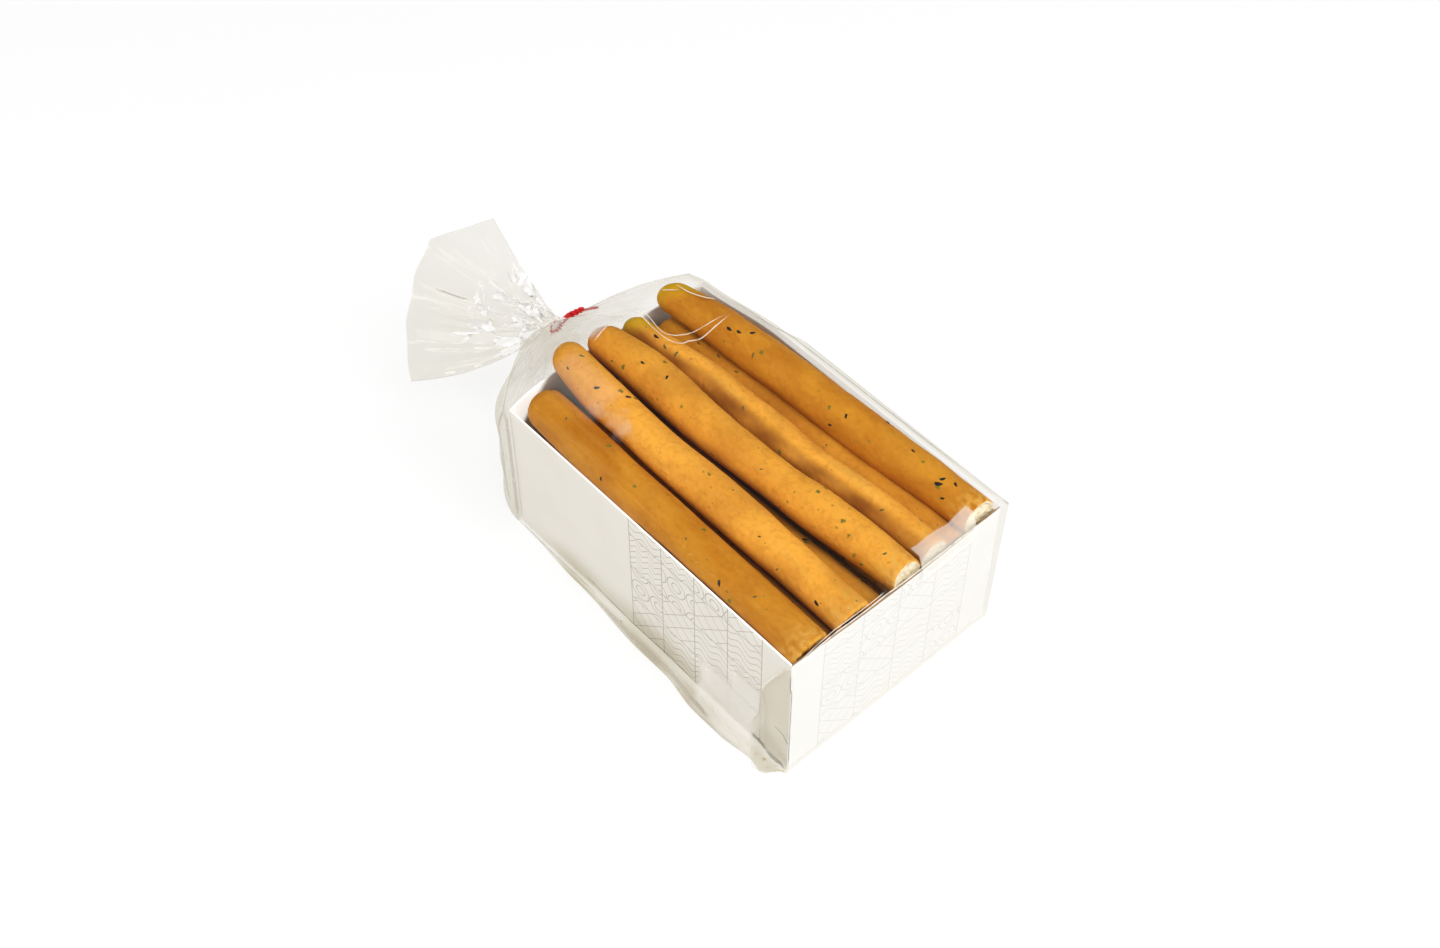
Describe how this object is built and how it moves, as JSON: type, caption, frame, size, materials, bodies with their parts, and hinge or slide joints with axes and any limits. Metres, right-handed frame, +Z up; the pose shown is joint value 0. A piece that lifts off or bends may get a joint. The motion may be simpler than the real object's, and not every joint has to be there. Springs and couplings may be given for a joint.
{
  "type": "finger rusk pack",
  "caption": "Clear film bag of long crisp finger rusks in an open white card tray, gathered behind the tray, closed with a red twist tie and spread out as a pleated mouth.",
  "frame": {"origin": "middle of the tray's underside, on the surface that the pack stands on", "axes": "+X to the tray's front end, away from the tied neck, which is the long way of the pack; +Y to the far long side; +Z up, away from the base"},
  "size_m": [0.3046, 0.1337, 0.0991],
  "materials": {
    "clear_film": "clear crisp packing film with folds and creases",
    "tray_card": "white coated card with a fine grey line print",
    "rusk_crust": "baked golden crust with a low sheen, dark seeds and green herb flecks",
    "red_tie": "red coated twist wire"
  },
  "bodies": {
    "root": {"bag": "clear_film", "twist_tie": "red_tie"}
  },
  "joints": []
}
